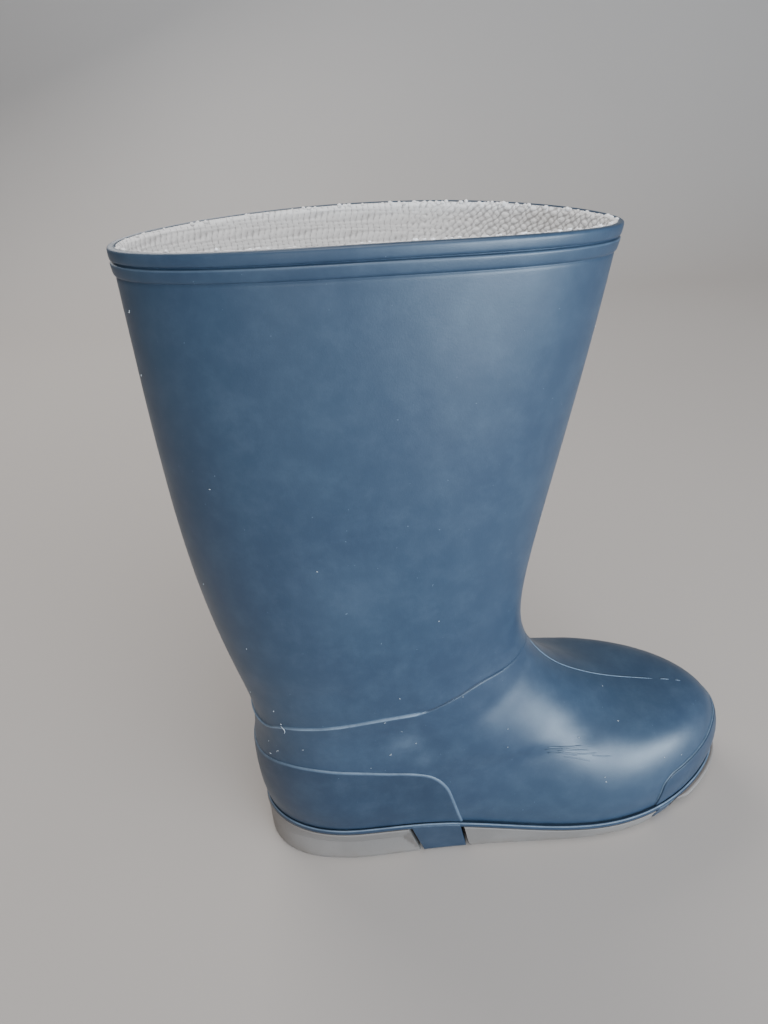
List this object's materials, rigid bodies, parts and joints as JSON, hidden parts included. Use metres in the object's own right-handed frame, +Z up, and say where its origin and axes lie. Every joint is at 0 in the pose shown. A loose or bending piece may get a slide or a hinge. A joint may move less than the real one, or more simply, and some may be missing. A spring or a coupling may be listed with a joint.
{
  "type": "wellington boot",
  "caption": "Right-foot moulded wellington boot with a tall open shaft, banded collar, heel counter, toe bumper, proud welt, grey heeled sole and a loose insole.",
  "frame": {"origin": "middle of the boot's outer box, on the plane that the sole stands on", "axes": "+X towards the toe, +Y towards the inner (big toe) side, +Z up the shaft"},
  "size_m": [0.2823, 0.0957, 0.3338],
  "materials": {
    "blue_pvc": "satin slate-blue soft PVC",
    "grey_pvc": "matt warm grey soft PVC",
    "white_knit": "nubby white knitted lining"
  },
  "bodies": {
    "root": {"upper": "blue_pvc", "heel_counter": "blue_pvc", "toe_bumper": "blue_pvc", "midsole": "blue_pvc", "outsole": "grey_pvc", "insole": "white_knit"}
  },
  "joints": []
}
